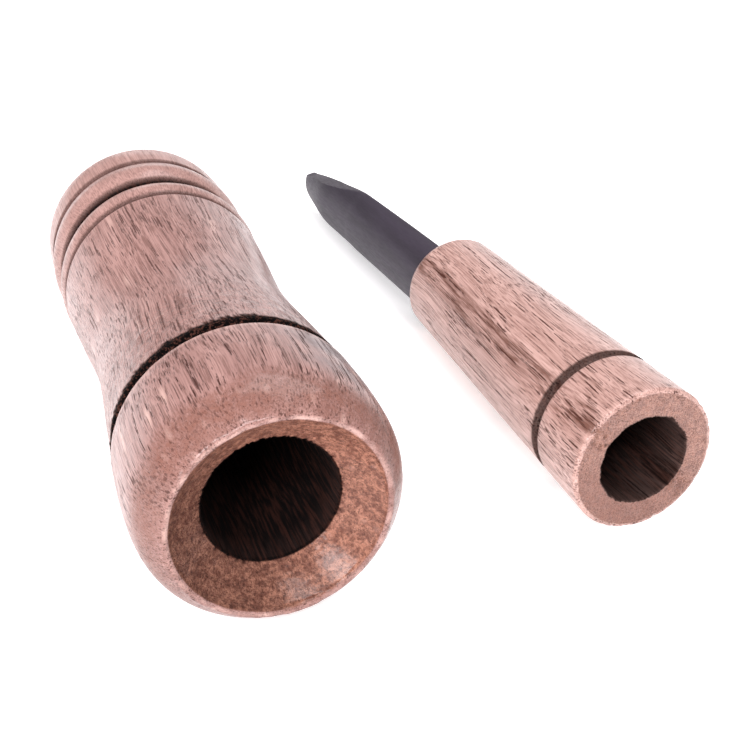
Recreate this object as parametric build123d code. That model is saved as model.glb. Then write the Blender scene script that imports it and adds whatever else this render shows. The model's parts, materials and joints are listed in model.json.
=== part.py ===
from build123d import *
import os
from math import atan, cos, degrees, radians, sin

# A two-piece wooden duck call, taken apart and lying on a table: the barrel, and beside it the
# stopper with its reed unit. Millimetres. +Z is up, and +Y runs away from the mouth end.
# Each turned piece is drawn about its own axis, with z = 0 at the end nearest to -Y.

# Barrel: the turned outside, from the mouth rim to the far face
BARREL_LENGTH = 80.0
RIM_INNER_R = 12.3
RIM_CREST_R = 12.8
BULGE_R = 15.7
BULGE_Z = 7.6
SHOULDER_R = 15.35
WAIST_R = 13.15
WAIST_Z = 39.9
BEAD_R = 14.2
FAR_EDGE_R = 12.2

# Barrel: the turned grooves, each (place, half width, bottom radius)
BURNED_GROOVE = (17.55, 0.95, 14.35)
NEAR_LINE = (59.3, 0.6, 13.35)
LANYARD_GROOVE = (65.3, 1.2, 12.6)
FAR_LINE = (71.8, 0.6, 13.3)

# Barrel: the inside
BORE_R = 7.94
BOWL_DEPTH = 4.0
BOWL_HOLLOW = 0.35
SEAT_DEPTH = 19.0
SEAT_PLAY = 0.02
SEAT_MOUTH_CHAMFER = 0.5

# Stopper: a wooden taper with a groove near its exhaust end
STOPPER_LENGTH = 56.9
EXHAUST_R = 10.43
FRONT_R = BORE_R - SEAT_PLAY
STOPPER_GROOVE = (11.1, 0.8, 9.25)
EXHAUST_EDGE_ROUND = 0.5
FRONT_EDGE_ROUND = 1.2
EXHAUST_BORE_R = 6.35

# Reed unit: its socket in the stopper's front, drilled a little askew
SOCKET_DEPTH = 22.0
SOCKET_LEAN = 1.8
UNIT_ROLL = 18.4
RUNNING_PLAY = 0.05
END_GAP = 0.6

# Tone board: a half-round bar with a sound channel, z = 0 at the stopper's front face
BOARD_R = 6.35
BOARD_REACH = 50.2
FACE_HEIGHT = -0.3
FACE_SLOPE = 1.8
FACE_CURVE_START = 2.0
FACE_CURVE_R = 2000.0
FACE_END_START = 27.0
FACE_END_R = 460.0
BACK_TAPER_START = 38.5
BACK_TAPER_END = 48.4
NOSE_BACK_R = 5.1
NOSE_TIP_R = 3.5
SIDE_TAPER_START = 25.0
SIDE_MIDDLE = (5.2, 34.0)
SIDE_END = (3.0, 46.8)
CHANNEL_WIDTH = 4.8
CHANNEL_DEPTH = 3.8
CHANNEL_RAMP_START = 30.0
CHANNEL_END = 40.0

# Reed: a flat plastic strip with clipped front corners
REED_WIDTH = 7.0
REED_THICKNESS = 0.35
REED_GAP = 0.15
REED_END = 47.0
REED_TIP_WIDTH = 2.8
REED_CORNER_LENGTH = 7.5

# Wedge: a half-round cork that holds the reed's tail, hollowed a little underneath
WEDGE_INSET = 1.5
WEDGE_TAIL_INSET = 2.0
WEDGE_GAP = 0.02
WEDGE_SLOPE = 1.2
WEDGE_NOSE_CUT = 1.5

# How the two halves lie on the table
STOPPER_X = 53.79
STOPPER_Y = 14.3
STOPPER_HEADING = 4.35
STOPPER_PITCH = 2.2

# Places worked out from the sizes above
TAPER_RATE = (EXHAUST_R - FRONT_R) / STOPPER_LENGTH
SEAT_BOTTOM_Z = BARREL_LENGTH - SEAT_DEPTH
BEAD_Z = (LANYARD_GROOVE[0] + FAR_LINE[0]) / 2
BARREL_PITCH = degrees(atan((BULGE_R - BEAD_R) / (BEAD_Z - BULGE_Z)))
SOCKET_R = BOARD_R + RUNNING_PLAY
TAIL_Z = END_GAP - SOCKET_DEPTH
REED_TOP = REED_GAP + REED_THICKNESS


def turned(*edges):
    """Revolve a closed outline, drawn with x as the radius and y as z, about the piece's axis."""
    return revolve(Plane.XZ * make_face(Curve() + list(edges)), Axis.Z)


def seat_r(z):
    """Radius of the barrel's tapered seat at z, which opens out of the bore."""
    return BORE_R + TAPER_RATE * (z - SEAT_BOTTOM_Z)


def stopper_r(z):
    """Radius of the stopper's outside at z."""
    return EXHAUST_R - TAPER_RATE * z


def groove_places(groove):
    """A groove's near edge, middle and far edge along the axis, and its bottom radius."""
    middle, half_width, bottom_r = groove
    return middle - half_width, middle, middle + half_width, bottom_r


def quarter_round(edge_r, z, size, rise):
    """A rounded end edge: from the flat end's rim to the side wall, size away along the axis."""
    bend = size * (1 - sin(radians(45)))
    side = (edge_r, z + rise * size)
    return ThreePointArc((edge_r - size, z), (edge_r - bend, z + rise * bend), side)


def barrel_outside():
    """The barrel's outer wall from the rim's crest to the far face, as a list of edges."""
    burned_near, _, burned_far, burned_r = groove_places(BURNED_GROOVE)
    line_near, line_mid, line_far, line_r = groove_places(NEAR_LINE)
    deep_near, deep_mid, deep_far, deep_r = groove_places(LANYARD_GROOVE)
    last_near, last_mid, last_far, last_r = groove_places(FAR_LINE)
    shoulder = (SHOULDER_R, burned_near)
    neck = (SHOULDER_R - 0.3, burned_far)
    body_end = (BEAD_R - 0.2, line_near)
    first_bead = (BEAD_R - 0.35, line_far)
    deep_start = (BEAD_R - 0.7, deep_near)
    deep_end = (BEAD_R - 0.7, deep_far)
    second_bead_end = (BEAD_R - 0.4, last_near)
    end_start = (BEAD_R - 0.45, last_far)
    return [
        Spline((RIM_CREST_R, 0), (14.8, 2.6), (BULGE_R, BULGE_Z), shoulder),
        Polyline(shoulder, (burned_r, burned_near + 0.25), (burned_r, burned_far - 0.4), neck),
        Spline(neck, (14.03, 28.7), (WAIST_R, WAIST_Z), (13.6, 50.0), body_end),
        ThreePointArc(body_end, (line_r, line_mid), first_bead),
        ThreePointArc(first_bead, (BEAD_R, (line_far + deep_near) / 2), deep_start),
        ThreePointArc(deep_start, (deep_r, deep_mid), deep_end),
        ThreePointArc(deep_end, (BEAD_R, (deep_far + last_near) / 2), second_bead_end),
        ThreePointArc(second_bead_end, (last_r, last_mid), end_start),
        Spline(end_start, (13.85, 74.6), (13.4, 77.8), (FAR_EDGE_R, BARREL_LENGTH)),
    ]


def barrel():
    """Barrel: a turned tube with a bowled mouth, a straight bore and a tapered seat."""
    chamfer_z = BARREL_LENGTH - SEAT_MOUTH_CHAMFER
    bowl_rim = (RIM_INNER_R, 0.3)
    bowl_middle = ((BORE_R + RIM_INNER_R) / 2, BOWL_DEPTH / 2 + BOWL_HOLLOW)
    bore_mouth = (BORE_R, BOWL_DEPTH)
    inside = Polyline(
        (FAR_EDGE_R, BARREL_LENGTH),
        (seat_r(chamfer_z) + SEAT_MOUTH_CHAMFER, BARREL_LENGTH),
        (seat_r(chamfer_z), chamfer_z),
        (BORE_R, SEAT_BOTTOM_Z),
        bore_mouth,
    )
    bowl = ThreePointArc(bore_mouth, bowl_middle, bowl_rim)
    return turned(*barrel_outside(), inside, bowl, Line(bowl_rim, (RIM_CREST_R, 0)))


def stopper():
    """Stopper: a drilled wooden taper, with the reed unit's socket in its front face."""
    groove_near, groove_mid, groove_far, groove_r = groove_places(STOPPER_GROOVE)
    exhaust_edge = quarter_round(EXHAUST_R, 0, EXHAUST_EDGE_ROUND, 1)
    front_edge = quarter_round(FRONT_R, STOPPER_LENGTH, FRONT_EDGE_ROUND, -1)
    groove_start = (stopper_r(groove_near), groove_near)
    groove_end = (stopper_r(groove_far), groove_far)
    wood = turned(
        exhaust_edge,
        Line(exhaust_edge @ 1, groove_start),
        ThreePointArc(groove_start, (groove_r, groove_mid), groove_end),
        Line(groove_end, front_edge @ 1),
        front_edge,
        Polyline(front_edge @ 0, (0, STOPPER_LENGTH), (0, 0), exhaust_edge @ 0),
    )
    bore_end = STOPPER_LENGTH - SOCKET_DEPTH + SOCKET_R * sin(radians(SOCKET_LEAN))
    bore = extrude(Circle(EXHAUST_BORE_R), bore_end)
    socket_floor = Plane.XY.offset(-SOCKET_DEPTH)
    socket = unit_place() * extrude(socket_floor * Circle(SOCKET_R), SOCKET_DEPTH + 2)
    return wood - bore - socket


def unit_place():
    """The reed unit's place in the stopper: rolled about its axis, and leaning from its face."""
    front = Location((0, 0, STOPPER_LENGTH))
    return front * Rotation(0, 0, -UNIT_ROLL) * Rotation(0, -SOCKET_LEAN, 0)


def face_place():
    """The reed face's place on the unit: x = 0 is the flat stretch, tipped down to the nose."""
    return Location((FACE_HEIGHT, 0, 0)) * Rotation(0, -FACE_SLOPE, 0)


def face_height(z):
    """Height of the reed face over its flat stretch's plane: it curves away to the nose."""
    gentle = max(0.0, z - FACE_CURVE_START) ** 2 / (2 * FACE_CURVE_R)
    extra_r = 1 / (1 / FACE_END_R - 1 / FACE_CURVE_R)
    return -gentle - max(0.0, z - FACE_END_START) ** 2 / (2 * extra_r)


def above_face():
    """Everything above the reed face, to be cut from the bar."""
    before = TAIL_Z - 4
    past = BOARD_REACH + 4
    top = 2 * BOARD_R
    curve_start, curve_middle, end_start, end_middle, curve_end = [
        (face_height(z), z)
        for z in (
            FACE_CURVE_START,
            (FACE_CURVE_START + FACE_END_START) / 2,
            FACE_END_START,
            (FACE_END_START + past) / 2,
            past,
        )
    ]
    outline = Curve() + [
        Line((0, before), curve_start),
        ThreePointArc(curve_start, curve_middle, end_start),
        ThreePointArc(end_start, end_middle, curve_end),
        Polyline(curve_end, (top, past), (top, before), (0, before)),
    ]
    return face_place() * extrude(Plane.XZ * make_face(outline), 2 * BOARD_R, both=True)


def sound_channel():
    """The open channel along the reed face, ramping up to the face short of the nose."""
    before = TAIL_Z - 4
    side = Polygon(
        (-CHANNEL_DEPTH, before),
        (-CHANNEL_DEPTH, CHANNEL_RAMP_START),
        (face_height(CHANNEL_END), CHANNEL_END),
        (BOARD_R, CHANNEL_END),
        (BOARD_R, before),
        align=None,
    )
    return face_place() * extrude(Plane.XZ * side, CHANNEL_WIDTH / 2, both=True)


def nose_plan():
    """The board's outline seen on its reed face, whose sides narrow to a rounded nose."""
    side_start = (BOARD_R + 1, SIDE_TAPER_START)
    side = Spline(
        (BOARD_R, SIDE_TAPER_START), SIDE_MIDDLE, SIDE_END, (0, BOARD_REACH),
        tangents=[(0, 1), (-1, 0)],
    )
    edge = Polyline(side @ 0, side_start, (BOARD_R + 1, TAIL_Z - 1), (0, TAIL_Z - 1), side @ 1)
    half = make_face(Curve() + [side, edge])
    across = Plane(origin=(0, 0, 0), x_dir=(0, 1, 0), z_dir=(1, 0, 0))
    return extrude(across * (half + mirror(half, Plane.YZ)), 2 * BOARD_R, both=True)


def tone_board():
    """Tone board: a round bar with a tapered nose, cut to its reed face and channelled."""
    bend = sin(radians(45))
    nose_start = (NOSE_BACK_R, BACK_TAPER_END)
    round_middle = (
        NOSE_TIP_R + bend * (NOSE_BACK_R - NOSE_TIP_R),
        BACK_TAPER_END + bend * (BOARD_REACH - BACK_TAPER_END),
    )
    nose_end = (NOSE_TIP_R, BOARD_REACH)
    bar = turned(
        Polyline((0, TAIL_Z), (BOARD_R, TAIL_Z), (BOARD_R, BACK_TAPER_START), nose_start),
        ThreePointArc(nose_start, round_middle, nose_end),
        Polyline(nose_end, (0, BOARD_REACH), (0, TAIL_Z)),
    )
    return (bar & nose_plan()) - above_face() - sound_channel()


def reed():
    """Reed: a thin strip over the channel, from the wedge to just short of the nose."""
    tail_z = TAIL_Z + WEDGE_TAIL_INSET
    corner_z = REED_END - REED_CORNER_LENGTH
    half_width = REED_WIDTH / 2
    half_tip = REED_TIP_WIDTH / 2
    strip = Polygon(
        (-half_width, tail_z),
        (half_width, tail_z),
        (half_width, corner_z),
        (half_tip, REED_END),
        (-half_tip, REED_END),
        (-half_width, corner_z),
        align=None,
    )
    lying_flat = Plane(origin=(REED_GAP, 0, 0), x_dir=(0, 1, 0), z_dir=(1, 0, 0))
    return face_place() * extrude(lying_flat * strip, REED_THICKNESS)


def wedge():
    """Wedge: the half-round cork over the reed's tail, touching it only along its front edge."""
    tail_z = TAIL_Z + WEDGE_TAIL_INSET
    front_z = -WEDGE_INSET
    bottom = REED_TOP + WEDGE_GAP
    rise = (front_z - tail_z) * sin(radians(WEDGE_SLOPE))
    top = 2 * BOARD_R
    side = Polygon(
        (bottom, front_z),
        (bottom + rise, tail_z - 1),
        (top, tail_z - 1),
        (top, front_z + 1),
        (bottom + WEDGE_NOSE_CUT, front_z + 1),
        align=None,
    )
    block = face_place() * extrude(Plane.XZ * side, BOARD_R, both=True)
    bar = extrude(Plane.XY.offset(tail_z) * Circle(BOARD_R), front_z - tail_z)
    return block & bar


def along(heading, pitch):
    """Unit vector of a lying piece's axis: heading turns it to -X, pitch dips its far end."""
    turn = radians(heading)
    dip = radians(pitch)
    return Vector(-sin(turn) * cos(dip), cos(turn) * cos(dip), -sin(dip))


def lying(x, y, radius, heading, pitch):
    """Place of a turned piece that rests on the table on its near end's edge."""
    level = Vector(cos(radians(heading)), sin(radians(heading)), 0)
    near_end = (x, y, radius * cos(radians(pitch)))
    return Location(Plane(origin=near_end, x_dir=level, z_dir=along(heading, pitch)))


def resting_height(solid):
    """How far a placed solid has to rise to stand on the table."""
    return -solid.bounding_box().min.Z


# Where each piece lies. The barrel rests on its bulge and a bead, the stopper on its exhaust
# edge and the tone board's nose.
barrel_turned = barrel()
barrel_place = lying(0, 0, BULGE_R, 0, BARREL_PITCH)
barrel_place = Location((0, 0, resting_height(barrel_place * barrel_turned))) * barrel_place
stopper_turned = stopper()
stopper_place = lying(STOPPER_X, STOPPER_Y, EXHAUST_R, STOPPER_HEADING, STOPPER_PITCH)
stopper_place = Location((0, 0, resting_height(stopper_place * stopper_turned))) * stopper_place
reed_unit_place = stopper_place * unit_place()

pieces = {
    "barrel": barrel_place * barrel_turned,
    "stopper": stopper_place * stopper_turned,
    "tone_board": reed_unit_place * tone_board(),
    "reed": reed_unit_place * reed(),
    "wedge": reed_unit_place * wedge(),
}

# The origin is on the table, under the middle of the whole object.
extent = Compound(list(pieces.values())).bounding_box()
to_origin = Location((-extent.center().X, -extent.center().Y, -extent.min.Z))
pieces = {name: to_origin * solid for name, solid in pieces.items()}

os.makedirs("parts", exist_ok=True)
for name, solid in pieces.items():
    export_step(solid, f"parts/{name}.step")
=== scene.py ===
"""Looks of the taken-apart duck call: a bowled walnut barrel, and beside it the stopper with its
half-round tone board, reed and cork wedge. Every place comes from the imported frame. Each wooden
piece is a turned mesh about its own z axis, and its wood is one solid procedural texture, so pores
run as dashes along the sides and as dots on end grain."""

import json
import math

import bpy
import numpy as np
from mathutils import Matrix, Vector, noise

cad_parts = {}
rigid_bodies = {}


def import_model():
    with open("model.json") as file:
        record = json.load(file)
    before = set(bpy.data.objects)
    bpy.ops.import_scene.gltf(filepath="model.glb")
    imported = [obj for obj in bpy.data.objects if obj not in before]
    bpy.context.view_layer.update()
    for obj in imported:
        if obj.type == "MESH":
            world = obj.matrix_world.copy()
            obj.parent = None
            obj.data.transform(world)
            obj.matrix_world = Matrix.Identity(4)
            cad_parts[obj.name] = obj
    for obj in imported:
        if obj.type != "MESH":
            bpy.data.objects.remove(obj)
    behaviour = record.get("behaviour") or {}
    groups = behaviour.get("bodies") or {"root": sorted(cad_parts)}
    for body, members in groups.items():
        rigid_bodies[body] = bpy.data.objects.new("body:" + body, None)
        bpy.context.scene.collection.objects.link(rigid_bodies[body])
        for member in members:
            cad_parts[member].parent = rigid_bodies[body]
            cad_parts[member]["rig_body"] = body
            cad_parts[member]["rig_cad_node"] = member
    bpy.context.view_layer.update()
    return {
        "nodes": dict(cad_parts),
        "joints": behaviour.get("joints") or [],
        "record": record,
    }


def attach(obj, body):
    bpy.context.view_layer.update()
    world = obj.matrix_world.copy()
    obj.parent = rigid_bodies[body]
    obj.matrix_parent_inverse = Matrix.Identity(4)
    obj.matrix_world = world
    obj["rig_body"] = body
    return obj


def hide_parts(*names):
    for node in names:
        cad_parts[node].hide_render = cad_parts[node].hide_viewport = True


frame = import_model()

MM = 0.001
mounts = {mount["name"]: mount for mount in frame["record"]["mounts"]}
joints = {joint["name"]: joint for joint in frame["joints"]}

# Sizes of the pieces along their own axes, in millimetres
BARREL_LENGTH = 80.0
BORE_R = 7.94
BORE_MOUTH = 4.0
BURNED_START = 16.6
SEAT_BOTTOM = 61.0
STOPPER_LENGTH = 56.9
EXHAUST_R = 10.43
FRONT_R = 7.92
TAPER_RATE = (EXHAUST_R - FRONT_R) / STOPPER_LENGTH
EXHAUST_BORE_R = 6.35
SOCKET_R = 6.4
SOCKET_FLOOR = 35.1

# The reed unit, with z = 0 at the stopper's front. Its face falls away to the nose by a slope in
# degrees, which is also given as a fall in mm per mm, and by two curves, each from a place on.
BOARD_R = 6.35
BOARD_REACH = 50.2
BOARD_TAIL = -21.4
NOSE_START = 46.8
NOSE_HALF_WIDTH = 3.0
FACE_DEPTH = 0.3
FACE_SLOPE = 1.8
FACE_FALL = 0.0314
GENTLE_START = 2.0
GENTLE_R = 2000.0
STEEP_START = 27.0
STEEP_R = 597.5
REED_HALF_WIDTH = 3.5
REED_TAIL = -19.4
REED_END = 47.0

# Directions round a lying piece, in radians: 0 is its right side, and -pi / 2 its top
UPPER_RIGHT = -0.6
UPPER_LEFT = -2.1
LOWER_LEFT = 2.5


# ---------------------------------------------------------------- places

def place_of(origin, along, across):
    """Matrix whose z is along and whose x is nearest to across, with its origin in metres."""
    z = Vector(along).normalized()
    x = (Vector(across) - z * z.dot(Vector(across))).normalized()
    y = z.cross(x)
    turn = Matrix((x, y, z)).transposed().to_4x4()
    return Matrix.Translation(Vector(origin)) @ turn


def level(along):
    """Horizontal direction square to a lying piece's axis."""
    return Vector(along).cross(Vector((0, 0, 1)))


barrel_axis = Vector(mounts["barrel_seat"]["axis"])
barrel_origin = Vector(mounts["barrel_seat"]["pos_m"]) - barrel_axis * BARREL_LENGTH * MM
barrel_place = place_of(barrel_origin, barrel_axis, level(barrel_axis))

stopper_axis = -Vector(mounts["exhaust_bore"]["axis"])
half_bore = mounts["exhaust_bore"]["dims"]["length_mm"] / 2 * MM
stopper_origin = Vector(mounts["exhaust_bore"]["pos_m"]) - stopper_axis * half_bore
stopper_place = place_of(stopper_origin, stopper_axis, level(stopper_axis))

unit_axis = Vector(joints["reed_unit_slide"]["axis"])
unit_origin = stopper_origin + stopper_axis * STOPPER_LENGTH * MM
unit_across = (-Vector(joints["reed_flex"]["axis"])).cross(unit_axis)
unit_place = place_of(unit_origin, unit_axis, unit_across)


# ---------------------------------------------------------------- outlines and meshes

def smooth_line(points, spacing):
    """Points every spacing along the natural cubic spline through the given (radius, z) points."""
    points = np.array(points, float)
    steps = np.linalg.norm(np.diff(points, axis=0), axis=1)
    knots = np.concatenate([[0.0], np.cumsum(steps)])
    count = len(points)
    system = np.eye(count)
    target = np.zeros((count, 2))
    for i in range(1, count - 1):
        before, after = steps[i - 1], steps[i]
        system[i, i - 1 : i + 2] = before, 2 * (before + after), after
        slopes = (points[i + 1] - points[i]) / after - (points[i] - points[i - 1]) / before
        target[i] = 6 * slopes
    bend = np.linalg.solve(system, target)
    places = np.linspace(0, knots[-1], max(3, int(round(knots[-1] / spacing)) + 1))
    span = np.clip(np.searchsorted(knots, places, side="right") - 1, 0, count - 2)
    length = steps[span][:, None]
    left = (knots[span + 1] - places)[:, None]
    right = (places - knots[span])[:, None]
    line = (bend[span] * left**3 + bend[span + 1] * right**3) / (6 * length)
    line += (points[span] / length - bend[span] * length / 6) * left
    line += (points[span + 1] / length - bend[span + 1] * length / 6) * right
    return line


def straight_line(points, spacing):
    """Points about every spacing along straight runs."""
    runs = []
    for start, end in zip(points[:-1], points[1:]):
        start, end = np.array(start, float), np.array(end, float)
        count = max(1, int(round(np.linalg.norm(end - start) / spacing)))
        runs.append(start + (end - start) * np.linspace(0, 1, count + 1)[:-1, None])
    runs.append(np.array([points[-1]], float))
    return np.concatenate(runs)


def join_lines(*lines):
    """One outline from several that meet end to end, without the doubled points."""
    joined = [lines[0]]
    joined += [line[1:] for line in lines[1:]]
    return np.concatenate(joined)


def turned_points(outline, segments):
    """Rings of points about z, as an array of rings by segments by (radius, angle, z)."""
    angles = np.linspace(0, 2 * math.pi, segments, endpoint=False)
    radius, z = outline[:, 0], outline[:, 1]
    grid = np.zeros((len(outline), segments, 3))
    grid[:, :, 0] = radius[:, None]
    grid[:, :, 1] = angles[None, :]
    grid[:, :, 2] = z[:, None]
    return grid


def to_xyz(grid):
    """The same rings as x, y, z."""
    radius, angle, z = grid[:, :, 0], grid[:, :, 1], grid[:, :, 2]
    return np.stack([radius * np.cos(angle), radius * np.sin(angle), z], axis=-1)


def ring_mesh(name, points, place, closed_rings, masks=None):
    """Mesh object from rings of points in millimetres. closed_rings joins the last to the first."""
    rings, segments = points.shape[:2]
    flat = points.reshape(-1, 3) * MM
    index = np.arange(rings * segments).reshape(rings, segments)
    lower = index if closed_rings else index[:-1]
    upper = np.roll(index, -1, axis=0) if closed_rings else index[1:]
    faces = np.stack(
        [lower, np.roll(lower, -1, axis=1), np.roll(upper, -1, axis=1), upper], axis=-1
    ).reshape(-1, 4)
    caps = []
    if not closed_rings:
        caps = [index[0][::-1].tolist(), index[-1].tolist()]
    mesh = bpy.data.meshes.new(name)
    mesh.from_pydata(flat.tolist(), [], faces.tolist() + caps)
    mesh.update()
    for label, values in (masks or {}).items():
        attribute = mesh.attributes.new(label, "FLOAT", "POINT")
        attribute.data.foreach_set("value", values.reshape(-1).astype(np.float32))
    piece = bpy.data.objects.new(name, mesh)
    bpy.context.scene.collection.objects.link(piece)
    piece.matrix_world = place
    return piece


def soften(piece, sharp_degrees):
    """Smooth shading with sharp edges kept where faces meet steeply."""
    piece.data.polygons.foreach_set("use_smooth", [True] * len(piece.data.polygons))
    piece.data.set_sharp_from_angle(angle=math.radians(sharp_degrees))


def grain_noise(points, scale, offset=0.0):
    """Smooth noise from -1 to 1 at each point. scale is the size of its features, per axis."""
    shape = points.shape[:-1]
    flat = (points / np.array(scale, float)).reshape(-1, 3) + offset
    values = np.fromiter((noise.noise(Vector(p)) for p in flat), float, len(flat))
    return values.reshape(shape)


def bump_at(z, middle, half_width):
    """1 at middle along z, falling smoothly to 0 at half_width from it."""
    return np.clip(1 - ((z - middle) / half_width) ** 2, 0, 1)


def step_at(value, start, end):
    """0 before start, 1 after end, smooth between. start may be larger than end."""
    t = np.clip((value - start) / (end - start), 0, 1)
    return t * t * (3 - 2 * t)


# ---------------------------------------------------------------- the barrel

def barrel_outline():
    """The barrel's closed outline in (radius, z), from the bowl's rim round to the bowl."""
    bowl_rim = (12.05, 0.5)
    crest_end = (13.3, 0.45)
    shoulder = (15.35, BURNED_START)
    neck = (15.05, 18.5)
    body_end = (14.0, 58.6)
    first_bead_start = (13.85, 59.95)
    deep_start, deep_end = (13.5, 64.1), (13.5, 66.5)
    second_bead_end = (13.8, 71.2)
    end_start = (13.75, 72.4)
    far_rim = (12.2, 79.9)
    seat_mouth = (8.8, 79.5)
    seat_end = (BORE_R, SEAT_BOTTOM - 0.1)
    torn_end = (BORE_R, 14.0)
    bore_mouth = (BORE_R, BORE_MOUTH)
    rim = smooth_line([bowl_rim, (12.35, 0.12), (12.8, 0.02), crest_end], 0.12)
    bulge = smooth_line([crest_end, (14.8, 2.6), (15.7, 7.6), shoulder], 0.36)
    burned = straight_line([shoulder, (14.5, 16.75), (14.3, 17.4), (14.45, 18.1), neck], 0.11)
    waist = smooth_line([neck, (14.03, 28.7), (13.15, 39.9), (13.6, 50.0), body_end], 0.5)
    first_line = smooth_line([body_end, (13.35, 59.3), first_bead_start], 0.13)
    first_bead = smooth_line([first_bead_start, (14.2, 62.0), deep_start], 0.2)
    deep = smooth_line([deep_start, (12.6, 65.3), deep_end], 0.16)
    second_bead = smooth_line([deep_end, (14.2, 68.9), second_bead_end], 0.2)
    last_line = smooth_line([second_bead_end, (13.3, 71.8), end_start], 0.13)
    end = smooth_line([end_start, (13.85, 74.6), (13.4, 77.8), far_rim], 0.3)
    far_edge = straight_line([far_rim, (11.95, 80.0), (9.3, 80.0), seat_mouth], 0.25)
    seat = straight_line([seat_mouth, (8.0, SEAT_BOTTOM), seat_end], 0.9)
    bore = straight_line([seat_end, torn_end], 1.6)
    mouth = straight_line([torn_end, (BORE_R, 8.0), bore_mouth], 0.3)
    bowl = smooth_line([bore_mouth, (10.05, 2.42), bowl_rim], 0.17)
    return join_lines(
        rim, bulge, burned, waist, first_line, first_bead, deep, second_bead,
        last_line, end, far_edge, seat, bore, mouth, bowl,
    )[:-1]


def torn_pores(angle, z, start, reach, seed):
    """Pores cut open at a hole's mouth: narrow nicks along z of differing depth, 0 to 1."""
    around = np.stack([np.cos(angle) * 22, np.sin(angle) * 22, z * 0.05], axis=-1)
    teeth = step_at(grain_noise(around, (1, 1, 1), seed), 0.05, 0.5)
    lengths = 0.35 + 0.65 * step_at(grain_noise(around, (2.3, 2.3, 1), seed + 9), -0.4, 0.5)
    return teeth * step_at(z, start + reach * lengths, start)


def barrel_mesh():
    """The barrel with its charred groove, uneven lip, torn bore mouth and slight tool marks."""
    grid = turned_points(barrel_outline(), 240)
    # These are views of the grid, so a change to one moves the grid's points
    radius, angle, z = grid[:, :, 0], grid[:, :, 1], grid[:, :, 2]
    xyz = to_xyz(grid)
    outside = radius > 12.25
    inside = (radius < 9.2) & (z > 3.9)
    in_bowl = (z < 4.05) & (radius < 12.3)

    # Burned wood, and painted shade in the three grooves by the far end and inside the bore
    fringe = 19.3 + 0.5 * grain_noise(xyz, (0.4, 0.4, 3), 17.0)
    char = step_at(z, BURNED_START, BURNED_START + 0.15) * outside
    char *= step_at(z, fringe + 0.3, fringe)
    lines = 0.75 * bump_at(z, 59.5, 0.9) + 0.7 * bump_at(z, 72.0, 0.9)
    lines = np.clip(lines + 1.2 * bump_at(z, 65.4, 1.4), 0, 1) * outside
    bore_dark = inside * (0.96 + 0.04 * step_at(z, BORE_MOUTH, 9.0))
    dark = np.clip(np.maximum(np.maximum(char, lines), bore_dark), 0, 1)

    # Marks of the hand and the tool, the crumbled char, and the uneven lip
    hand = 0.05 * grain_noise(xyz, (9, 9, 14)) * outside
    peel = 0.05 * grain_noise(xyz, (1.1, 1.1, 1.4), 3.0)
    uneven_slope = bump_at(z, 23.0, 8.0) * outside * step_at(radius, 13.4, 14.0)
    lip = bump_at(radius, 12.75, 0.8) * (z < 1.2)
    grit = grain_noise(xyz, (0.42, 0.42, 0.42), 7.0) * char
    radius += hand - 0.03 + peel * (0.25 + uneven_slope) * outside + 0.14 * grit
    z += 0.22 * lip * grain_noise(xyz, (1.9, 1.9, 1.9), 5.0)
    z += 0.1 * lip * grain_noise(xyz, (0.7, 0.7, 0.7), 11.0)
    neck_fray = bump_at(z, 18.5, 0.6) * outside
    radius -= 0.16 * neck_fray * np.clip(grain_noise(xyz, (0.5, 0.5, 2), 2.0) + 0.2, 0, 1)

    # The torn mouth of the bore, and the bowl's rough grain
    torn = torn_pores(angle, z, BORE_MOUTH, 5.0, 1.0) * inside
    edge = bump_at(radius, BORE_R, 0.9) * in_bowl
    at_mouth = np.full_like(z, BORE_MOUTH)
    edge_teeth = step_at(torn_pores(angle, at_mouth, BORE_MOUTH, 5.0, 1.0), 0.1, 0.7)
    radius += 0.14 * torn * inside
    z += 0.08 * edge * edge_teeth
    z += 0.03 * in_bowl * grain_noise(xyz, (0.45, 0.45, 0.45), 4.0)
    # Painted shade on the bowl's lower left
    shaded_side = step_at(np.cos(angle - LOWER_LEFT), -0.35, 0.9)
    dark += 0.75 * edge * edge_teeth * step_at(radius, 8.7, 8.0) + 0.36 * in_bowl * shaded_side
    dark = np.clip(dark, 0, 1)

    # A scorched zone above the lip, a pale line at the burned groove, and painted light: a
    # highlight along the lip, strongest at the upper left, haze at the far end, and a grey
    # reflection on the bulge's upper right
    reach = 3.1 + 1.3 * grain_noise(xyz, (4.5, 4.5, 9), 23.0)
    browned = bump_at(z, 2.4, reach) * outside
    patchy = step_at(grain_noise(xyz, (1.6, 1.6, 1.6), 19.0), -0.35, 0.4)
    patchy *= 0.6 + 0.5 * step_at(np.cos(angle - UPPER_LEFT), -0.2, 0.7)
    # Painted highlight along the lip
    wear_and_painted_light = 0.9 * bump_at(radius, 12.6, 0.38) * (z < 0.6) * patchy
    wear_and_painted_light += 0.5 * bump_at(z, 16.45, 0.35) * outside
    # Painted haze at the far end
    wear_and_painted_light += 0.3 * step_at(z, 57.0, 63.0) * outside * (1 - dark)
    # Painted reflection: a grey patch on the bulge's upper right
    facing = np.cos(angle - UPPER_RIGHT)
    painted_reflection = bump_at(z, 11.5, 6.0) * step_at(facing, 0.5, 0.95) * outside
    painted_reflection *= step_at(grain_noise(xyz, (6, 6, 5), 27.0), -0.5, 0.3)
    masks = {
        "dark": dark,
        "char": char,
        "browned": browned,
        "wear_and_painted_light": wear_and_painted_light,
        "end_grain": in_bowl.astype(float),
        "painted_reflection": painted_reflection,
        "uneven": uneven_slope,
        "filled": 0.22 + 0.4 * step_at(z, 57.0, 60.0) - 0.22 * step_at(z, 17.0, 14.0),
    }
    piece = ring_mesh("barrel_turning", to_xyz(grid)[::-1], barrel_place, True,
                      {label: values[::-1] for label, values in masks.items()})
    soften(piece, 50)
    return piece


# ---------------------------------------------------------------- the stopper

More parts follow.
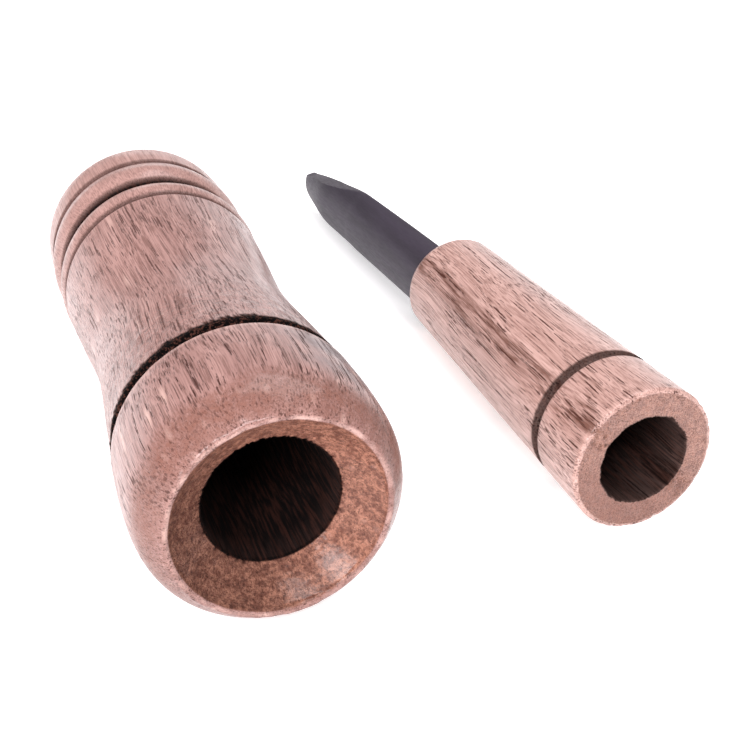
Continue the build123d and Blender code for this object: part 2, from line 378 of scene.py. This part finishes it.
def stopper_outline():
    """The stopper's closed outline: exhaust edge, side, groove, front edge, socket and bore."""
    def side(z):
        return (EXHAUST_R - TAPER_RATE * z, z)

    face_rim = (9.75, 0.0)
    edge_end = side(0.75)
    groove_start, groove_end = side(10.3), side(11.95)
    side_end = side(55.4)
    socket_rim = (6.62, STOPPER_LENGTH)
    socket_end = (SOCKET_R, SOCKET_FLOOR)
    torn_end = (EXHAUST_BORE_R, 8.0)
    bore_rim = (EXHAUST_BORE_R, 0.12)
    bore_mouth = (EXHAUST_BORE_R + 0.12, 0.0)
    exhaust_edge = smooth_line([face_rim, (10.12, 0.08), (10.36, 0.32), edge_end], 0.12)
    near_side = straight_line([edge_end, groove_start], 0.4)
    groove = straight_line(
        [groove_start, (9.45, 10.45), (9.22, 10.95), (9.34, 11.6), groove_end], 0.12
    )
    long_side = straight_line([groove_end, side_end], 0.46)
    front_edge = smooth_line([side_end, (7.62, 56.2), (7.05, 56.78), socket_rim], 0.16)
    socket = straight_line([socket_rim, (6.44, 56.86), (SOCKET_R, 56.6), socket_end], 0.8)
    bore = straight_line([socket_end, (EXHAUST_BORE_R, 34.8), torn_end], 1.0)
    mouth = straight_line([torn_end, bore_rim], 0.3)
    lip = straight_line([bore_rim, bore_mouth], 0.1)
    face = straight_line([bore_mouth, face_rim], 0.2)
    return join_lines(
        exhaust_edge, near_side, groove, long_side, front_edge, socket, bore, mouth, lip, face
    )[:-1]


def stopper_mesh():
    """The stopper with its brown groove, worn exhaust edge with a pale rim of wear and painted
    highlight, and rough-drilled bore with painted shade inside.
    """
    grid = turned_points(stopper_outline(), 256)
    # These are views of the grid, so a change to one moves the grid's points
    radius, angle, z = grid[:, :, 0], grid[:, :, 1], grid[:, :, 2]
    xyz = to_xyz(grid)
    outside = radius > 7.0
    inside = radius < 6.5
    on_face = (z < 0.01) & (radius > 6.5)

    groove = step_at(z, 10.25, 10.4) * step_at(z, 12.15, 11.9) * outside
    # Painted shade inside the bore
    bore_dark = inside * (0.9 + 0.07 * step_at(z, 0.0, 8.0))
    dark = np.clip(np.maximum(0.85 * groove, bore_dark), 0, 1)

    around = np.stack([np.cos(angle), np.sin(angle), z * 0.06], axis=-1)
    chatter = grain_noise(around, (0.28, 0.28, 1), 6.0)
    chatter += 0.6 * grain_noise(around, (0.1, 0.1, 1), 8.0)
    mouth = step_at(radius, 7.3, 6.5) * step_at(z, 6.0, 0.5)
    torn = torn_pores(angle, z, 0.0, 4.0, 21.0) * inside
    radius += 0.22 * mouth * chatter + 0.12 * torn
    radius += 0.035 * grain_noise(xyz, (8, 8, 16), 2.0) * outside * (z > 0.8)
    edge = bump_at(radius, 10.1, 0.6) * (z < 1.1)
    chips = np.clip(grain_noise(xyz, (0.9, 0.9, 0.9), 12.0) - 0.15, 0, 1)
    z += 0.35 * edge * chips
    radius -= 0.22 * edge * chips
    z += 0.02 * on_face * grain_noise(xyz, (0.5, 0.5, 0.5), 14.0)
    radius -= 0.07 * groove * grain_noise(xyz, (0.5, 0.5, 0.5), 16.0)

    # The socket leans with the reed unit
    points = to_xyz(grid)
    in_socket = step_at(z, 34.8, SOCKET_FLOOR) * (radius < 6.7)
    in_socket *= step_at(z, STOPPER_LENGTH, 56.5)
    lean = stopper_place.inverted().to_3x3() @ unit_axis
    past_front = in_socket * (z - STOPPER_LENGTH)
    points[:, :, 0] += past_front * lean.x / lean.z
    points[:, :, 1] += past_front * lean.y / lean.z

    # The pale rim of the exhaust edge is partly wear and partly painted highlight; a pale band runs
    # at the front edge
    patchy = step_at(grain_noise(xyz, (1.6, 1.6, 1.6), 18.0), -0.35, 0.4)
    wear_and_painted_light = 0.6 * bump_at(radius, 10.15, 0.45) * (z < 0.8) * patchy
    wear_and_painted_light += 0.2 * bump_at(z, 56.4, 1.2) * outside
    masks = {
        "dark": dark,
        "char": 0.35 * groove,
        # The exhaust face is browner and darker towards its bottom
        "browned": 0.6 * on_face * step_at(np.sin(angle - 0.4), -0.1, 1.0),
        "wear_and_painted_light": wear_and_painted_light,
        "end_grain": on_face.astype(float),
    }
    piece = ring_mesh("stopper_turning", points[::-1], stopper_place, True,
                      {label: values[::-1] for label, values in masks.items()})
    soften(piece, 50)
    return piece


# ---------------------------------------------------------------- the reed unit

def face_drop(z):
    """How far the reed face lies below the bar's middle at z: it slopes, then curves away."""
    gentle = np.clip(z - GENTLE_START, 0, None) ** 2 / (2 * GENTLE_R)
    steep = np.clip(z - STEEP_START, 0, None) ** 2 / (2 * STEEP_R)
    return FACE_DEPTH + math.tan(math.radians(FACE_SLOPE)) * z + gentle + steep


def board_stations():
    """Places along the board where a cross-section is drawn, closer together at the nose."""
    tail = BOARD_TAIL + np.array([0.0, 0.12, 0.4])
    body = np.linspace(BOARD_TAIL + 1.2, 28.0, 60)
    taper = np.linspace(28.6, 47.6, 56)
    nose = BOARD_REACH - 2.4 * np.cos(np.linspace(0.1, math.pi / 2, 22))
    return np.concatenate([tail, body, taper, nose])


def half_width_at(z):
    """Half the board's width: full, then drawn in to a rounded nose."""
    nose_start = (NOSE_HALF_WIDTH, NOSE_START)
    side = smooth_line([(BOARD_R, 25.0), (6.2, 27.0), (5.2, 34.0), (4.15, 41.0), nose_start], 0.2)
    width = np.interp(z, side[:, 1], side[:, 0])
    left = np.clip((BOARD_REACH - z) / (BOARD_REACH - NOSE_START), 0, 1)
    rounded = NOSE_HALF_WIDTH * (1 - (1 - left) ** 2.2) ** 0.55
    return np.where(z > NOSE_START, rounded, width)


# The back's radius along the nose
BACK_LINE = smooth_line(
    [(BOARD_R, 36.0), (6.3, 39.5), (5.75, 43.5), (5.1, 47.6), (4.5, 49.4), (3.5, BOARD_REACH)],
    0.2,
)


def board_section(z):
    """Right half of the cross-section at z, from the channel's floor round to the back."""
    back = float(np.interp(z, BACK_LINE[:, 1], BACK_LINE[:, 0]))
    back -= 0.25 * (z < BOARD_TAIL + 0.3)
    face = -face_drop(z)
    side = min(half_width_at(z), math.sqrt(max(back**2 - face**2, 0.01)))
    round_off = min(0.28, 0.4 * side)
    channel = min(2.4, 0.55 * side)
    full_depth = 3.8 - (face + FACE_DEPTH + FACE_FALL * z)
    depth = np.interp(z, [30.0, 40.0], [full_depth, 0.02])
    depth = min(max(depth, 0.02), back + face - 1.0)
    floor = [(channel * t, face - depth) for t in (0.0, 0.5, 0.85)]
    fillet = min(0.3, depth / 3)
    arris = min(0.12, depth / 3)
    wall = [(channel, face - depth + fillet), (channel, face - arris)]
    flat_start = channel + 0.1
    flat_width = side - round_off - channel - 0.1
    flat = [(flat_start + flat_width * t, face) for t in (0, 0.3, 0.65, 1)]
    corner = [
        (side - round_off * (1 - math.sin(a)), face - round_off * (1 - math.cos(a)))
        for a in np.radians([30, 60, 90])
    ]
    wall_end = -math.sqrt(max(back**2 - side**2, 0.0))
    wall_end = min(wall_end, face - round_off - 0.02)
    wall_height = wall_end - face + round_off
    down = [(side, face - round_off + wall_height * t) for t in (0.33, 0.66)]
    radius = math.hypot(side, wall_end)
    start = math.atan2(-wall_end, side)
    arc = [
        (radius * math.cos(a), -radius * math.sin(a))
        for a in np.linspace(start, math.pi / 2, 26)
    ]
    return floor + wall + flat + corner + down + arc


def board_mesh():
    """The moulded tone board: a half-round bar with rounded arrises, channel and nose."""
    rings = []
    for z in board_stations():
        half = board_section(float(z))
        right = [(x, y, z) for y, x in half]
        left = [(x, -y, z) for y, x in half[1:-1]]
        rings.append(right + left[::-1])
    points = np.array(rings)
    points[:, :, 0] += 0.02 * grain_noise(points, (5, 5, 9), 31.0)
    piece = ring_mesh("tone_board_moulding", points, unit_place, False)
    soften(piece, 35)
    return piece


def face_place():
    """The reed face's place: x away from the face, z along it."""
    lowered = Matrix.Translation((-FACE_DEPTH * MM, 0, 0))
    return unit_place @ lowered @ Matrix.Rotation(math.radians(-FACE_SLOPE), 4, "Y")


def reed_mesh():
    """The reed: a thin clipped strip with rounded edges."""
    right = [
        (REED_HALF_WIDTH, REED_TAIL), (REED_HALF_WIDTH, 39.5), (3.3, 40.4), (1.75, 46.4),
        (1.1, REED_END),
    ]
    left = [(-y, z) for y, z in reversed(right)]
    outline = left[-1:] + right + left[:-1]
    runs = straight_line(outline + outline[:1], 1.5)[:-1]
    middle = np.array([0.0, 14.0])
    inward = middle - runs
    inward /= np.linalg.norm(inward, axis=1)[:, None]
    rings = []
    for height, inset in ((0.15, 0.04), (0.19, 0.0), (0.32, 0.0), (0.46, 0.0), (0.5, 0.04)):
        moved = runs + inward * inset
        rings.append(np.column_stack([np.full(len(runs), height), moved[:, 0], moved[:, 1]]))
    piece = ring_mesh("reed_strip", np.array(rings), face_place(), False)
    soften(piece, 30)
    return piece


def wedge_mesh():
    """The cork wedge: the CAD wedge's own shape, softened and roughened like cut cork."""
    piece = frame["nodes"]["wedge"].copy()
    piece.data = piece.data.copy()
    piece.name = "cork_wedge"
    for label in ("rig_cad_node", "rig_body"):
        if label in piece:
            del piece[label]
    piece.parent = None
    bpy.context.scene.collection.objects.link(piece)
    remesh = piece.modifiers.new("even", "REMESH")
    remesh.mode = "VOXEL"
    remesh.voxel_size = 0.22 * MM
    relax = piece.modifiers.new("relax", "SMOOTH")
    relax.factor = 0.5
    relax.iterations = 3
    bpy.context.view_layer.objects.active = piece
    for modifier in ("even", "relax"):
        with bpy.context.temp_override(object=piece):
            bpy.ops.object.modifier_apply(modifier=modifier)
    mesh = piece.data
    points = np.array([v.co for v in mesh.vertices])
    normals = np.array([v.normal for v in mesh.vertices])
    crumbs = grain_noise(points / MM, (0.7, 0.7, 0.7), 41.0)
    points -= normals * (0.02 + 0.05 * np.clip(crumbs, 0, 1))[:, None] * MM
    mesh.vertices.foreach_set("co", points.reshape(-1))
    mesh.update()
    soften(piece, 60)
    return piece


# ---------------------------------------------------------------- materials

class Paint:
    """A procedural material, built node by node."""

    def __init__(self, name):
        self.material = bpy.data.materials.new(name)
        self.material.use_nodes = True
        self.tree = self.material.node_tree
        self.tree.nodes.clear()

    def put(self, socket, value):
        """Gives an input its value, or links it where the value is another node's output."""
        if isinstance(value, bpy.types.NodeSocket):
            self.tree.links.new(value, socket)
        else:
            socket.default_value = value

    def node(self, kind, inputs=None, **settings):
        """A node of this kind, with its settings and its inputs by name or number."""
        node = self.tree.nodes.new(kind)
        for key, value in settings.items():
            setattr(node, key, value)
        for key, value in (inputs or {}).items():
            self.put(node.inputs[key], value)
        return node

    def math(self, operation, first, second=0.0, clamp=False):
        """The result of one sum on plain values, held to 0 to 1 if clamp is set."""
        inputs = {0: first, 1: second}
        return self.node("ShaderNodeMath", inputs, operation=operation, use_clamp=clamp).outputs[0]

    def times(self, first, second, clamp=False):
        return self.math("MULTIPLY", first, second, clamp)

    def plus(self, first, second, clamp=False):
        return self.math("ADD", first, second, clamp)

    def minus(self, first, second, clamp=False):
        return self.math("SUBTRACT", first, second, clamp)

    def stretched(self, coordinates, scale):
        """Coordinates multiplied per axis, so that a texture's features are 1/scale long."""
        inputs = {0: coordinates, 1: scale}
        return self.node("ShaderNodeVectorMath", inputs, operation="MULTIPLY").outputs[0]

    def noise(self, coordinates, detail=3.0, roughness=0.5, scale=1.0):
        """Cloudy noise, mostly from 0.3 to 0.7."""
        inputs = {"Vector": coordinates, "Scale": scale, "Detail": detail, "Roughness": roughness}
        return self.node("ShaderNodeTexNoise", inputs).outputs["Fac"]

    def step(self, value, start, end, low=0.0, high=1.0):
        """low where value is at start, high where it is at end, and smooth between."""
        inputs = {0: value, 1: start, 2: end, 3: low, 4: high}
        kind = "ShaderNodeMapRange"
        return self.node(kind, inputs, interpolation_type="SMOOTHSTEP").outputs[0]

    def mix(self, amount, first, second):
        """The first colour where amount is 0, and the second where it is 1."""
        node = self.node("ShaderNodeMix", data_type="RGBA")
        colours = [socket for socket in node.inputs if socket.type == "RGBA"]
        for socket, value in zip([node.inputs[0]] + colours, (amount, first, second)):
            self.put(socket, value)
        return node.outputs[2]

    def mask(self, label):
        """One of the mesh's own values, which is 0 where the mesh has none of that name."""
        return self.node("ShaderNodeAttribute", attribute_name=label).outputs["Fac"]

    def bump(self, height, distance, below=None):
        """Fine relief, distance metres high, on top of the relief below."""
        inputs = {"Height": height, "Distance": distance, "Strength": 1.0}
        if below is not None:
            inputs["Normal"] = below
        return self.node("ShaderNodeBump", inputs).outputs["Normal"]

    def finish(self, shader):
        """The material, with this shader as its surface."""
        output = self.tree.nodes.new("ShaderNodeOutputMaterial")
        self.tree.links.new(shader.outputs[0], output.inputs["Surface"])
        return self.material


def rgb(red, green, blue):
    """A colour given as it looks on screen, 0 to 255, as linear values."""
    def linear(value):
        value /= 255
        return value / 12.92 if value <= 0.04045 else ((value + 0.055) / 1.055) ** 2.4

    return (linear(red), linear(green), linear(blue), 1.0)


def solid_millimetres(paint, offset):
    """Object coordinates in millimetres, moved so that each piece is cut from its own plank."""
    place = paint.node("ShaderNodeTexCoord").outputs["Object"]
    scaled = paint.node("ShaderNodeVectorMath", {0: place, "Scale": 1000.0}, operation="SCALE")
    moved = paint.node("ShaderNodeVectorMath", {0: scaled.outputs[0], 1: offset}, operation="ADD")
    return moved.outputs[0]


def pore_mask(paint, grain, across, along, size, crowding, edge=0.06):
    """Open pores: long thin cells of the wood, across wide and along long, as a mask."""
    coordinates = paint.stretched(grain, (1 / across, 1 / across, 1 / along))
    cells = paint.node("ShaderNodeTexVoronoi", {"Vector": coordinates, "Scale": 1.0})
    room = paint.minus(paint.times(crowding, size), cells.outputs["Distance"])
    return paint.step(room, -edge, edge)


def swaying_grain(paint, solid):
    """Coordinates whose fibres run along z and sway a little across it."""
    sway = paint.node("ShaderNodeTexNoise", {
        "Vector": paint.stretched(solid, (0.05, 0.05, 0.022)), "Scale": 1.0, "Detail": 2.0,
    }).outputs["Color"]
    sway = paint.node("ShaderNodeVectorMath", {0: sway, 1: (0.5, 0.5, 0.5)}, operation="SUBTRACT")
    sway = paint.stretched(sway.outputs[0], (5.0, 5.0, 0.0))
    return paint.node("ShaderNodeVectorMath", {0: solid, 1: sway}, operation="ADD").outputs[0]


def plain_wood(paint, grain, hairs, tones, heart_turn, heart_place):
    """Clean wood: rings and fibres, with a dark heart streak. Gives its colour and the streak."""
    light, mid, deep = tones[:3]
    parts = paint.node("ShaderNodeSeparateXYZ", {0: grain})
    turn = math.radians(heart_turn)
    depth = paint.times(parts.outputs[0], math.cos(turn))
    depth = paint.plus(depth, paint.times(parts.outputs[1], math.sin(turn)))
    ring_look = {"W": depth, "Scale": 0.55, "Detail": 4.0, "Roughness": 0.6}
    rings = paint.node("ShaderNodeTexNoise", ring_look, noise_dimensions="1D").outputs["Fac"]
    fibres = paint.noise(paint.stretched(grain, (3.4, 3.4, 0.16)), 4.0, 0.6)
    clouds = paint.noise(paint.stretched(grain, (0.16, 0.16, 0.05)), 3.0, 0.55)

    tone = paint.plus(paint.times(rings, 0.6), paint.times(fibres, 0.4))
    colour = paint.mix(paint.step(tone, 0.28, 0.74), mid, light)
    colour = paint.mix(paint.step(clouds, 0.42, 0.66, 0.0, 0.55), colour, mid)
    heart = paint.minus(depth, heart_place)
    heart = paint.plus(heart, paint.times(paint.minus(fibres, 0.5), 4.0))
    heart = paint.plus(heart, paint.times(paint.minus(clouds, 0.5), 5.0))
    heart = paint.step(paint.math("ABSOLUTE", heart), 2.3, 0.4, 0.0, 1.0)
    broken = paint.noise(paint.stretched(grain, (0.9, 0.9, 0.09)), 3.0, 0.65)
    heart = paint.times(heart, paint.step(broken, 0.42, 0.62, 0.1, 0.95))
    colour = paint.mix(heart, colour, deep)
    colour = paint.mix(paint.step(hairs, 0.42, 0.64, 0.0, 0.6), colour, deep)
    return colour, heart


def open_pores(paint, grain, heart, pore_size, closed):
    """Pores of two widths, crowded in patches and in the heart streak, as a mask."""
    crowd = paint.noise(paint.stretched(grain, (0.3, 0.3, 0.06)), 2.0, 0.5)
    crowd = paint.step(crowd, 0.3, 0.7, 0.6, 1.3)
    crowd = paint.plus(crowd, paint.times(heart, 0.35))
    ragged = paint.noise(paint.stretched(grain, (3.0, 3.0, 0.7)), 2.0, 0.6)
    crowd = paint.plus(crowd, paint.step(ragged, 0.3, 0.7, -0.35, 0.35))
    fine = pore_mask(paint, grain, 0.2, 12.0, pore_size, crowd)
    wide = pore_mask(paint, grain, 0.4, 19.0, pore_size * 0.88, crowd)
    pores = paint.math("MAXIMUM", paint.times(fine, 0.7), wide)
    return paint.times(pores, paint.minus(1.0, closed))


def darkened_wood(paint, grain, ember, char):
    """Dark colour: black with ash crumbs where charred, else streaked dark brown, which also paints
    shade in the bores, bowl and far grooves.
    """
    dark_streaks = paint.noise(paint.stretched(grain, (2.8, 2.8, 0.2)), 3.0, 0.6)
    dark_streaks = paint.step(dark_streaks, 0.42, 0.66, 1.0, 0.0)
    dark_brown = paint.mix(dark_streaks, rgb(40, 20, 15), rgb(5, 2, 2))
    ash = paint.mix(paint.step(ember, 0.5, 0.58), rgb(5, 2, 2), rgb(68, 41, 34))
    return paint.mix(char, dark_brown, ash)


def walnut(name, offset, tones, pore_size, heart_turn, heart_place, glint_share, end_share):
    """Varnished open-pored walnut, cut from a solid block whose fibres run along z.
    tones are its light, middle, deep and pore colours, and end_share how brown its end grain is."""
    deep, pore_tone = tones[2:]
    paint = Paint(name)
    solid = solid_millimetres(paint, offset)
    grain = swaying_grain(paint, solid)
    hairs = paint.noise(paint.stretched(grain, (5.5, 5.5, 0.14)), 3.0, 0.6)
    colour, heart = plain_wood(paint, grain, hairs, tones, heart_turn, heart_place)

    dark = paint.mask("dark")
    char = paint.mask("char")
    browned = paint.mask("browned")
    end_grain = paint.mask("end_grain")
    uneven = paint.mask("uneven")
    closed = paint.plus(paint.times(end_grain, 0.25 + 0.45 * end_share),
                        paint.times(browned, 0.5))
    closed = paint.plus(closed, paint.mask("filled"), clamp=True)
    pores = open_pores(paint, grain, heart, pore_size, closed)

    # End grain, the barrel's scorched zone and the foot of the stopper's exhaust face: mottled,
    # speckled and warmer
    end_mottle = paint.noise(paint.stretched(solid, (1.1, 1.1, 1.1)), 4.0, 0.7)
    mottle = paint.step(end_mottle, 0.35, 0.65)
    end_tone = paint.mix(mottle, rgb(110, 66, 51), rgb(176, 122, 100))
    colour = paint.mix(paint.times(end_grain, end_share), colour, end_tone)
    coarse = paint.math("MAXIMUM", end_grain, paint.times(browned, 0.6))
    speckle = paint.noise(paint.stretched(grain, (2.6, 2.6, 2.6)), 4.0, 0.75)
    speckle = paint.step(speckle, 0.47, 0.62, 0.0, 0.15 + 0.65 * end_share)
    colour = paint.mix(paint.times(speckle, coarse), colour, deep)
    warm = paint.times(browned, paint.step(end_mottle, 0.35, 0.65, 0.45, 0.95))
    colour = paint.mix(warm, colour, rgb(126, 85, 74))

    # Marks: a painted grey reflection, pale flecks of painted glint, pores, pale edges of wear and
    # painted light, and on the uneven slope painted shade in the pits and painted highlights on the
    # crests
    painted_reflection = paint.times(paint.mask("painted_reflection"), 0.85)
    colour = paint.mix(painted_reflection, colour, rgb(92, 74, 76))
    # Painted glints: small pale flecks
    painted_glints = pore_mask(paint, solid, 2.3, 13.0, 0.125, 1.0, 0.1)
    painted_glints = paint.times(painted_glints, paint.minus(glint_share, closed), clamp=True)
    colour = paint.mix(painted_glints, colour, rgb(190, 156, 146))
    colour = paint.mix(paint.times(pores, 0.9), colour, pore_tone)
    colour = paint.mix(paint.times(paint.mask("wear_and_painted_light"), 0.6), colour, rgb(208, 172, 162))
    dimples = paint.noise(paint.stretched(solid, (1.15, 1.15, 0.8)), 3.0, 0.65)
    # Painted shade in the dimples' pits and painted highlight on their crests
    shaded_pits = paint.times(paint.step(dimples, 0.44, 0.3, 0.0, 0.6), uneven)
    colour = paint.mix(shaded_pits, colour, deep)
    lit_crests = paint.times(paint.step(dimples, 0.6, 0.74, 0.0, 0.45), uneven)
    colour = paint.mix(lit_crests, colour, rgb(196, 160, 148))
    ember = paint.noise(paint.stretched(grain, (2.3, 2.3, 2.3)), 3.0, 0.75)
    # Burned wood, and painted shade where the dark mask is set
    colour = paint.mix(dark, colour, darkened_wood(paint, grain, ember, char))

    # Varnish, which pores, end grain, burned wood and painted shade break
    gloss_break = paint.noise(paint.stretched(grain, (0.9, 0.9, 0.5)), 3.0, 0.6)
    roughness = paint.step(gloss_break, 0.3, 0.7, 0.34, 0.5)
    roughness = paint.plus(roughness, paint.times(pores, 0.2))
    roughness = paint.plus(roughness, paint.times(dark, 0.6), clamp=True)
    bare = paint.plus(dark, paint.times(end_grain, 0.35))
    bare = paint.plus(bare, paint.times(pores, 0.9))
    coat = paint.times(paint.minus(1.0, bare, clamp=True), 0.5)

    # Relief, in metres
    normal = paint.bump(paint.times(pores, -1.0), 0.00009)
    normal = paint.bump(hairs, 0.00002, normal)
    peel = paint.noise(paint.stretched(solid, (1.3, 1.3, 1.1)), 2.0, 0.5)
    normal = paint.bump(peel, 0.00005, normal)
    normal = paint.bump(paint.times(ember, char), 0.0004, normal)
    normal = paint.bump(paint.times(dimples, uneven), 0.0008, normal)
    grit = paint.noise(paint.stretched(solid, (2.9, 2.9, 2.9)), 3.0, 0.7)
    grit = paint.times(paint.minus(grit, 0.5), coarse)
    normal = paint.bump(grit, 0.00045, normal)
    sanding = paint.noise(paint.stretched(solid, (5.0, 0.5, 0.5)), 2.0, 0.6)
    sanding = paint.times(paint.minus(sanding, 0.5), end_grain)
    normal = paint.bump(sanding, 0.0003 * (1.0 - end_share), normal)
    shader = paint.node("ShaderNodeBsdfPrincipled", {
        "Base Color": colour, "Roughness": roughness, "Normal": normal, "Coat Weight": coat,
        "Coat Roughness": 0.2, "Specular IOR Level": 0.1,
    })
    return paint.finish(shader)


def satin_plastic():
    """Dark moulded plastic: faint flow marks, fine scuffs and a satin sheen."""
    paint = Paint("satin_plastic")
    solid = solid_millimetres(paint, (3.0, 1.0, 7.0))
    flow = paint.noise(paint.stretched(solid, (0.5, 0.5, 0.07)), 3.0, 0.5)
    scuff = paint.noise(paint.stretched(solid, (4.0, 4.0, 0.5)), 4.0, 0.65)
    colour = paint.mix(paint.step(flow, 0.3, 0.7), rgb(46, 41, 50), rgb(55, 49, 60))
    colour = paint.mix(paint.step(scuff, 0.62, 0.8, 0.0, 0.35), colour, rgb(88, 81, 93))
    roughness = paint.step(scuff, 0.3, 0.75, 0.42, 0.58)
    normal = paint.bump(scuff, 0.000012)
    normal = paint.bump(flow, 0.00006, normal)
    shader = paint.node("ShaderNodeBsdfPrincipled", {
        "Base Color": colour, "Roughness": roughness, "Normal": normal,
        "Specular IOR Level": 0.24,
    })
    return paint.finish(shader)


def reed_film():
    """Frosted polyester film: milky, slightly see-through, with fine rubbed lines."""
    paint = Paint("reed_film")
    solid = solid_millimetres(paint, (9.0, 4.0, 2.0))
    rub = paint.noise(paint.stretched(solid, (3.0, 6.0, 0.3)), 3.0, 0.6)
    colour = paint.mix(paint.step(rub, 0.35, 0.7), rgb(196, 202, 204), rgb(226, 229, 228))
    roughness = paint.step(rub, 0.3, 0.7, 0.3, 0.48)
    normal = paint.bump(rub, 0.000008)
    shader = paint.node("ShaderNodeBsdfPrincipled", {
        "Base Color": colour, "Roughness": roughness, "Normal": normal, "Alpha": 0.72,
        "Transmission Weight": 0.35, "IOR": 1.5,
    })
    return paint.finish(shader)


def cork():
    """Fine agglomerated cork: pale granules between darker binder, with small pits."""
    paint = Paint("cork")
    solid = solid_millimetres(paint, (0.0, 0.0, 0.0))
    cells = paint.node("ShaderNodeTexVoronoi", {"Vector": solid, "Scale": 1.1})
    gaps = paint.node("ShaderNodeTexVoronoi", {"Vector": solid, "Scale": 1.1},
                      feature="DISTANCE_TO_EDGE").outputs["Distance"]
    tone = paint.noise(solid, 3.0, 0.6, 2.2)
    colour = paint.mix(paint.step(tone, 0.3, 0.7), rgb(150, 110, 74), rgb(205, 165, 120))
    parts = paint.node("ShaderNodeSeparateColor", {0: cells.outputs["Color"]})
    granules = paint.step(parts.outputs[0], 0.2, 0.9, 0.0, 0.4)
    colour = paint.mix(granules, colour, rgb(176, 128, 84))
    seams = paint.step(gaps, 0.09, 0.0, 0.0, 0.75)
    colour = paint.mix(seams, colour, rgb(96, 62, 40))
    normal = paint.bump(paint.minus(tone, seams), 0.00012)
    shader = paint.node("ShaderNodeBsdfPrincipled", {
        "Base Color": colour, "Roughness": 0.82, "Normal": normal, "Specular IOR Level": 0.3,
    })
    return paint.finish(shader)


def dress(piece, material):
    """Gives a piece its material."""
    piece.data.materials.clear()
    piece.data.materials.append(material)


# ---------------------------------------------------------------- the pieces

barrel = barrel_mesh()
dress(barrel, walnut(
    "barrel_walnut", offset=(31.0, 12.0, 40.0),
    tones=(rgb(172, 136, 129), rgb(138, 103, 97), rgb(86, 54, 46), rgb(56, 28, 22)),
    pore_size=0.265, heart_turn=40.0, heart_place=90.0, glint_share=0.8, end_share=0.88,
))
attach(barrel, "barrel")
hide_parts("barrel")

stopper = stopper_mesh()
dress(stopper, walnut(
    "stopper_walnut", offset=(-14.0, 55.0, 5.0),
    tones=(rgb(198, 163, 154), rgb(172, 137, 128), rgb(104, 68, 57), rgb(68, 35, 27)),
    pore_size=0.25, heart_turn=-55.5, heart_place=-53.6, glint_share=0.0, end_share=0.42,
))
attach(stopper, "stopper")
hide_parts("stopper")

board = board_mesh()
dress(board, satin_plastic())
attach(board, "tone_board")
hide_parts("tone_board")

reed = reed_mesh()
dress(reed, reed_film())
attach(reed, "reed")
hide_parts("reed")

wedge = wedge_mesh()
dress(wedge, cork())
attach(wedge, "wedge")
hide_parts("wedge")


# ---------------------------------------------------------------- floor, light and camera

FLOOR_HALF_WIDTH = 16.0
MIDDLE = Vector((0.0, -0.01, 0.01))
PINKISH = (1.0, 0.955, 0.97)
# Each light's name, place, width, height and power
LIGHTS = (
    ("front_left", (-0.42, -0.45, 0.26), 0.26, 0.2, 3.6),
    ("front_top", (-0.16, -0.46, 0.5), 0.34, 0.12, 2.4),
    ("overhead", (0.1, 0.1, 0.6), 0.5, 0.4, 3.0),
    ("back", (0.35, 0.65, 0.2), 0.9, 0.3, 1.1),
)
CAMERA_SPOT = Vector((-0.068449, -0.180305, 0.104454))
CAMERA_TARGET = Vector((0.001059, -0.020494, 0.010))
CAMERA_ROLL = 9.27
FOCAL_LENGTH = 69.34
SENSOR_WIDTH = 36.0


def floor_piece():
    """A plain pale floor, well past the view on every side."""
    mesh = bpy.data.meshes.new("floor")
    half = FLOOR_HALF_WIDTH
    corners = [(-half, -half, 0), (half, -half, 0), (half, half, 0), (-half, half, 0)]
    mesh.from_pydata(corners, [], [(0, 1, 2, 3)])
    piece = bpy.data.objects.new("floor", mesh)
    bpy.context.scene.collection.objects.link(piece)
    paint = Paint("pale_floor")
    shader = paint.node("ShaderNodeBsdfPrincipled", {
        "Base Color": (0.93, 0.93, 0.94, 1.0), "Roughness": 0.9, "Specular IOR Level": 0.1,
        "Emission Color": (1.0, 1.0, 1.0, 1.0), "Emission Strength": 0.5,
    })
    mesh.materials.append(paint.finish(shader))
    return piece


def softbox(name, position, width, height, power):
    """A rectangular studio light aimed at the middle of the call."""
    light = bpy.data.lights.new(name, "AREA")
    light.shape = "RECTANGLE"
    light.size = width
    light.size_y = height
    light.energy = power
    light.color = PINKISH
    lamp = bpy.data.objects.new(name, light)
    bpy.context.scene.collection.objects.link(lamp)
    lamp.location = position
    aim = MIDDLE - Vector(position)
    lamp.rotation_euler = aim.to_track_quat("-Z", "Y").to_euler()
    return lamp


def studio_world():
    """Even, nearly white light from all round."""
    world = bpy.data.worlds.new("studio")
    world.use_nodes = True
    background = world.node_tree.nodes["Background"]
    background.inputs["Color"].default_value = (1.0, 0.985, 0.985, 1.0)
    background.inputs["Strength"].default_value = 0.42
    return world


def rolled_camera():
    """The camera at its spot, aimed at its target and rolled to the left."""
    lens = bpy.data.cameras.new("camera")
    lens.lens = FOCAL_LENGTH
    lens.sensor_width = SENSOR_WIDTH
    lens.clip_start = 0.01
    camera = bpy.data.objects.new("camera", lens)
    bpy.context.scene.collection.objects.link(camera)
    looking = (CAMERA_TARGET - CAMERA_SPOT).normalized()
    level_right = looking.cross(Vector((0, 0, 1))).normalized()
    level_up = level_right.cross(looking)
    roll = math.radians(CAMERA_ROLL)
    right = math.cos(roll) * level_right + math.sin(roll) * level_up
    up = math.cos(roll) * level_up - math.sin(roll) * level_right
    axes = Matrix((right, up, -looking)).transposed().to_4x4()
    camera.matrix_world = Matrix.Translation(CAMERA_SPOT) @ axes
    return camera


floor_piece()
for name, position, width, height, power in LIGHTS:
    softbox(name, position, width, height, power)
bpy.context.scene.world = studio_world()
bpy.context.scene.view_settings.view_transform = "Standard"
bpy.context.scene.camera = rolled_camera()
